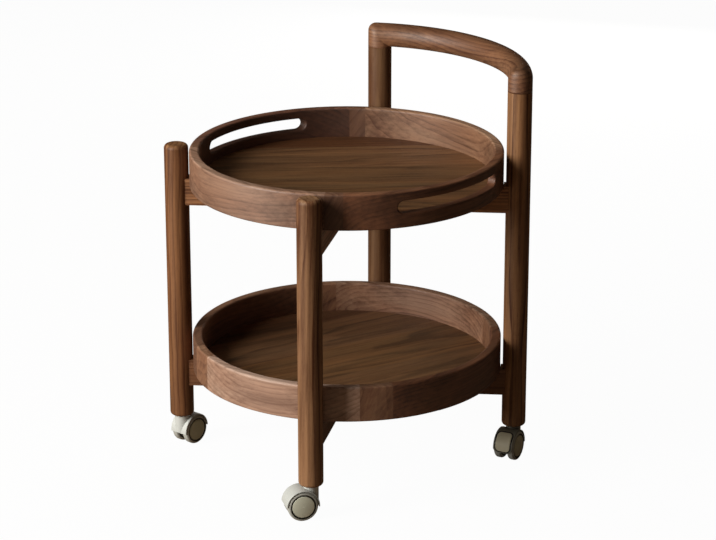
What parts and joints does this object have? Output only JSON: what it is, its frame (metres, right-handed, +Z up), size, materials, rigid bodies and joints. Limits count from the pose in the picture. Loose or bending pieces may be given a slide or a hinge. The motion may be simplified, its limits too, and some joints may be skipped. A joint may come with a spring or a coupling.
{
  "type": "rolling side table",
  "caption": "Low wooden trolley with a lift-off round serving tray over a fixed round tray, on turned legs with a curved push handle and twin-wheel casters.",
  "frame": {"origin": "on the floor, under the centre of the two trays", "axes": "+Z up, +Y towards the push handle, +X to the right seen from the front"},
  "size_m": [0.5, 0.5431, 0.655],
  "materials": {
    "frame_walnut": "oiled satin",
    "rim_walnut": "oiled satin",
    "floor_walnut": "oiled satin",
    "dowel_beech": "raw",
    "zinc_steel": "zinc plated",
    "hood_plastic": "moulded satin",
    "wheel_plastic": "moulded satin",
    "cap_plastic": "moulded satin"
  },
  "bodies": {
    "frame": {"front_left_leg": "frame_walnut", "front_right_leg": "frame_walnut", "back_right_leg": "frame_walnut", "back_left_leg": "frame_walnut", "handle_bar": "frame_walnut", "handle_dowels": "dowel_beech", "upper_long_rail": "frame_walnut", "upper_cross_rail": "frame_walnut", "lower_long_rail": "frame_walnut", "lower_cross_rail": "frame_walnut", "lower_rim_segment_1": "rim_walnut", "lower_rim_segment_2": "rim_walnut", "lower_rim_segment_3": "rim_walnut", "lower_rim_segment_4": "rim_walnut", "lower_rim_keys": "rim_walnut", "lower_floor_board_1": "floor_walnut", "lower_floor_board_2": "floor_walnut", "lower_floor_board_3": "floor_walnut", "lower_floor_board_4": "floor_walnut", "lower_floor_board_5": "floor_walnut", "tray_screws": "zinc_steel", "stem_sockets": "zinc_steel"},
    "serving_tray": {"upper_rim_segment_1": "rim_walnut", "upper_rim_segment_2": "rim_walnut", "upper_rim_segment_3": "rim_walnut", "upper_rim_segment_4": "rim_walnut", "upper_rim_keys": "rim_walnut", "upper_floor_board_1": "floor_walnut", "upper_floor_board_2": "floor_walnut", "upper_floor_board_3": "floor_walnut", "upper_floor_board_4": "floor_walnut", "upper_floor_board_5": "floor_walnut"},
    "front_left_caster": {"front_left_caster_hood": "hood_plastic", "front_left_caster_stem": "zinc_steel", "front_left_caster_axle": "zinc_steel"},
    "front_left_left_wheel": {"front_left_caster_left_wheel": "wheel_plastic", "front_left_caster_left_cap": "cap_plastic"},
    "front_left_right_wheel": {"front_left_caster_right_wheel": "wheel_plastic", "front_left_caster_right_cap": "cap_plastic"},
    "front_right_caster": {"front_right_caster_hood": "hood_plastic", "front_right_caster_stem": "zinc_steel", "front_right_caster_axle": "zinc_steel"},
    "front_right_left_wheel": {"front_right_caster_left_wheel": "wheel_plastic", "front_right_caster_left_cap": "cap_plastic"},
    "front_right_right_wheel": {"front_right_caster_right_wheel": "wheel_plastic", "front_right_caster_right_cap": "cap_plastic"},
    "back_right_caster": {"back_right_caster_hood": "hood_plastic", "back_right_caster_stem": "zinc_steel", "back_right_caster_axle": "zinc_steel"},
    "back_right_left_wheel": {"back_right_caster_left_wheel": "wheel_plastic", "back_right_caster_left_cap": "cap_plastic"},
    "back_right_right_wheel": {"back_right_caster_right_wheel": "wheel_plastic", "back_right_caster_right_cap": "cap_plastic"},
    "back_left_caster": {"back_left_caster_hood": "hood_plastic", "back_left_caster_stem": "zinc_steel", "back_left_caster_axle": "zinc_steel"},
    "back_left_left_wheel": {"back_left_caster_left_wheel": "wheel_plastic", "back_left_caster_left_cap": "cap_plastic"},
    "back_left_right_wheel": {"back_left_caster_right_wheel": "wheel_plastic", "back_left_caster_right_cap": "cap_plastic"}
  },
  "joints": [
    {"name": "tray_lift", "type": "slide", "parent": "frame", "child": "serving_tray", "axis": [0, 0, 1], "range_m": [0, 0.12]},
    {"name": "front_left_swivel", "type": "hinge", "parent": "frame", "child": "front_left_caster", "pos_m": [-0.18138, -0.2043, 0.0539], "axis": [0, 0, 1], "continuous": true},
    {"name": "front_left_left_roll", "type": "hinge", "parent": "front_left_caster", "child": "front_left_left_wheel", "pos_m": [-0.1851, -0.18822, 0.024], "axis": [-0.9744, -0.225, 0], "continuous": true},
    {"name": "front_left_right_roll", "type": "hinge", "parent": "front_left_caster", "child": "front_left_right_wheel", "pos_m": [-0.1851, -0.18822, 0.024], "axis": [-0.9744, -0.225, 0], "continuous": true},
    {"name": "front_right_swivel", "type": "hinge", "parent": "frame", "child": "front_right_caster", "pos_m": [0.18138, -0.2043, 0.0539], "axis": [0, 0, 1], "continuous": true},
    {"name": "front_right_left_roll", "type": "hinge", "parent": "front_right_caster", "child": "front_right_left_wheel", "pos_m": [0.17547, -0.2197, 0.024], "axis": [0.9336, -0.3584, 0], "continuous": true},
    {"name": "front_right_right_roll", "type": "hinge", "parent": "front_right_caster", "child": "front_right_right_wheel", "pos_m": [0.17547, -0.2197, 0.024], "axis": [0.9336, -0.3584, 0], "continuous": true},
    {"name": "back_right_swivel", "type": "hinge", "parent": "frame", "child": "back_right_caster", "pos_m": [0.18138, 0.2043, 0.0539], "axis": [0, 0, 1], "continuous": true},
    {"name": "back_right_left_roll", "type": "hinge", "parent": "back_right_caster", "child": "back_right_left_wheel", "pos_m": [0.18862, 0.18947, 0.024], "axis": [0.8988, 0.4384, 0], "continuous": true},
    {"name": "back_right_right_roll", "type": "hinge", "parent": "back_right_caster", "child": "back_right_right_wheel", "pos_m": [0.18862, 0.18947, 0.024], "axis": [0.8988, 0.4384, 0], "continuous": true},
    {"name": "back_left_swivel", "type": "hinge", "parent": "frame", "child": "back_left_caster", "pos_m": [-0.18138, 0.2043, 0.0539], "axis": [0, 0, 1], "continuous": true},
    {"name": "back_left_left_roll", "type": "hinge", "parent": "back_left_caster", "child": "back_left_left_wheel", "pos_m": [-0.19634, 0.19733, 0.024], "axis": [0.4226, -0.9063, 0], "continuous": true},
    {"name": "back_left_right_roll", "type": "hinge", "parent": "back_left_caster", "child": "back_left_right_wheel", "pos_m": [-0.19634, 0.19733, 0.024], "axis": [0.4226, -0.9063, 0], "continuous": true}
  ]
}
